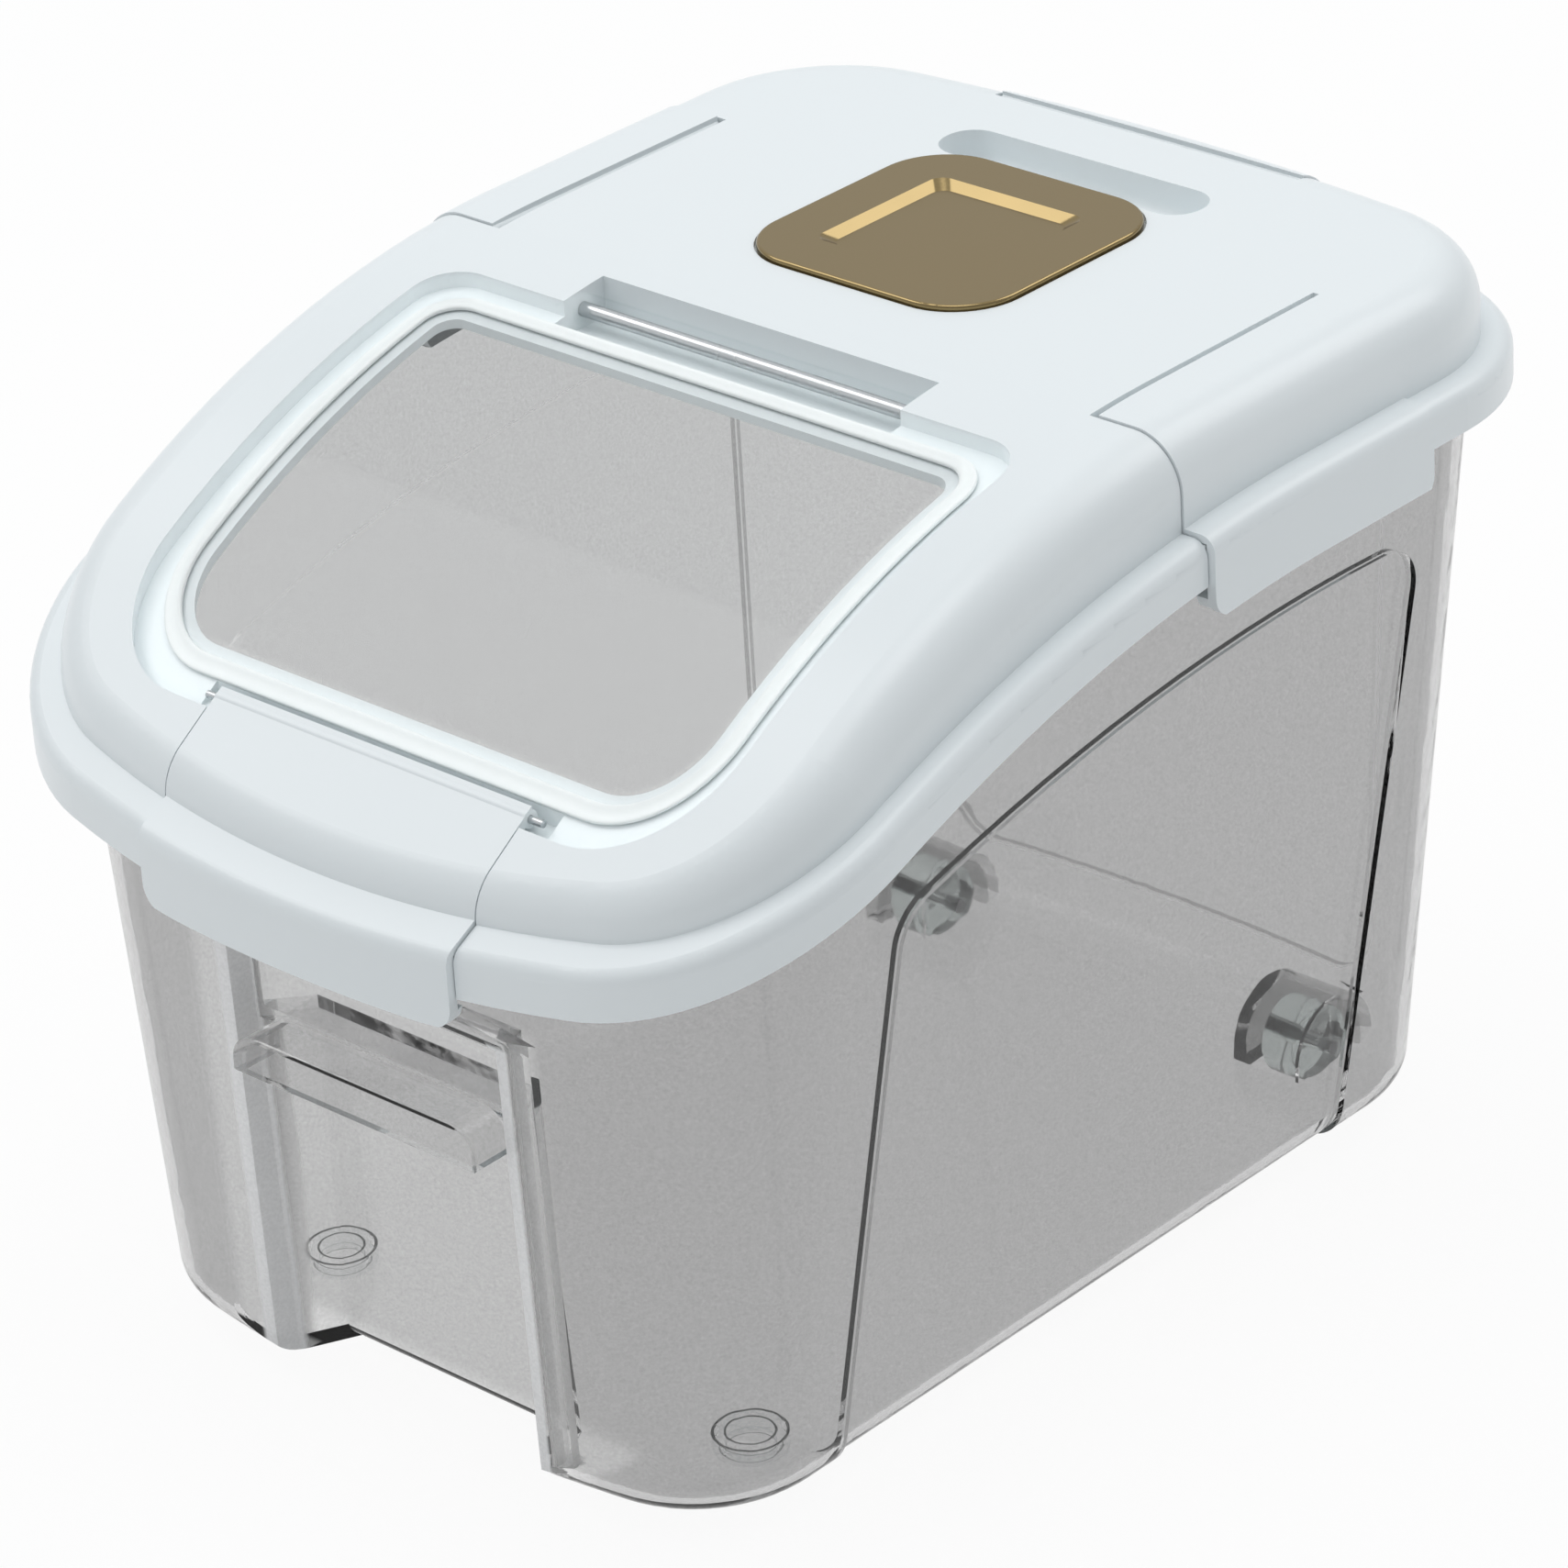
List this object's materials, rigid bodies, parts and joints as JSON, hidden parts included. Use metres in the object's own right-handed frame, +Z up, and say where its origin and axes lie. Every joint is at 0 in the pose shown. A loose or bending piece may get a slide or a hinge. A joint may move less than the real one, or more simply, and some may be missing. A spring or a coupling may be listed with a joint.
{
  "type": "rice bin with flip lid",
  "caption": "Clear rice bin on rear wheels with a white domed lid, a flip-up window, snap latches and a covered compartment for a moisture absorber.",
  "frame": {"origin": "on the ground under the middle of the tub", "axes": "+X to the bin's right, -Y to the front with the flip window, +Z up"},
  "size_m": [0.276, 0.356, 0.2529],
  "materials": {
    "smoked_clear_plastic": "glossy, see-through grey plastic",
    "white_lid_plastic": "satin white plastic with a slight cool tint",
    "clear_window_plastic": "glossy, clear plastic",
    "white_seal_rubber": "soft white silicone",
    "gold_cover": "metallised gold, satin",
    "steel_pin": "bright steel",
    "clear_wheel_plastic": "hard, see-through grey plastic",
    "clear_foot_rubber": "clear soft pad",
    "absorber_case_plastic": "plain white plastic",
    "sachet_paper": "breathable white sachet"
  },
  "bodies": {
    "bin": {"tub": "smoked_clear_plastic", "left_foot": "clear_foot_rubber", "right_foot": "clear_foot_rubber", "left_axle": "steel_pin", "right_axle": "steel_pin"},
    "left_roller": {"left_wheel": "clear_wheel_plastic"},
    "right_roller": {"right_wheel": "clear_wheel_plastic"},
    "lid": {"lid_frame": "white_lid_plastic", "lid_gasket": "white_seal_rubber", "flip_window_hinge_pin": "steel_pin", "left_latch_pin": "steel_pin", "right_latch_pin": "steel_pin", "rear_latch_pin": "steel_pin", "absorber_box": "absorber_case_plastic", "absorber_sachet": "sachet_paper"},
    "window": {"flip_window": "clear_window_plastic", "flip_window_gasket": "white_seal_rubber", "front_latch_pin": "steel_pin"},
    "front_catch": {"front_latch": "white_lid_plastic"},
    "left_catch": {"left_latch": "white_lid_plastic"},
    "right_catch": {"right_latch": "white_lid_plastic"},
    "rear_catch": {"rear_latch": "white_lid_plastic"},
    "gold_cover": {"compartment_cover": "gold_cover"}
  },
  "joints": [
    {"name": "lid_lift", "type": "slide", "parent": "bin", "child": "lid", "axis": [0, 0, 1], "range_m": [0, 0.12]},
    {"name": "window_hinge", "type": "hinge", "parent": "lid", "child": "window", "pos_m": [0, -0.004, 0.244], "axis": [-1, 0, 0], "range_deg": [0, 100]},
    {"name": "front_latch_hinge", "type": "hinge", "parent": "window", "child": "front_catch", "pos_m": [0, -0.1434, 0.19079], "axis": [-1, 0, 0], "range_deg": [0, 95]},
    {"name": "left_latch_hinge", "type": "hinge", "parent": "lid", "child": "left_catch", "pos_m": [-0.104, 0.054, 0.2486], "axis": [0, 1, 0], "range_deg": [0, 95]},
    {"name": "right_latch_hinge", "type": "hinge", "parent": "lid", "child": "right_catch", "pos_m": [0.104, 0.054, 0.2486], "axis": [0, -1, 0], "range_deg": [0, 95]},
    {"name": "rear_latch_hinge", "type": "hinge", "parent": "lid", "child": "rear_catch", "pos_m": [0, 0.157, 0.2486], "axis": [1, 0, 0], "range_deg": [0, 95]},
    {"name": "cover_lift", "type": "slide", "parent": "lid", "child": "gold_cover", "axis": [0, 0, 1], "range_m": [0, 0.03]},
    {"name": "left_wheel_spin", "type": "hinge", "parent": "bin", "child": "left_roller", "pos_m": [-0.067, 0.128, 0.011], "axis": [1, 0, 0], "continuous": true},
    {"name": "right_wheel_spin", "type": "hinge", "parent": "bin", "child": "right_roller", "pos_m": [0.067, 0.128, 0.011], "axis": [1, 0, 0], "continuous": true}
  ]
}
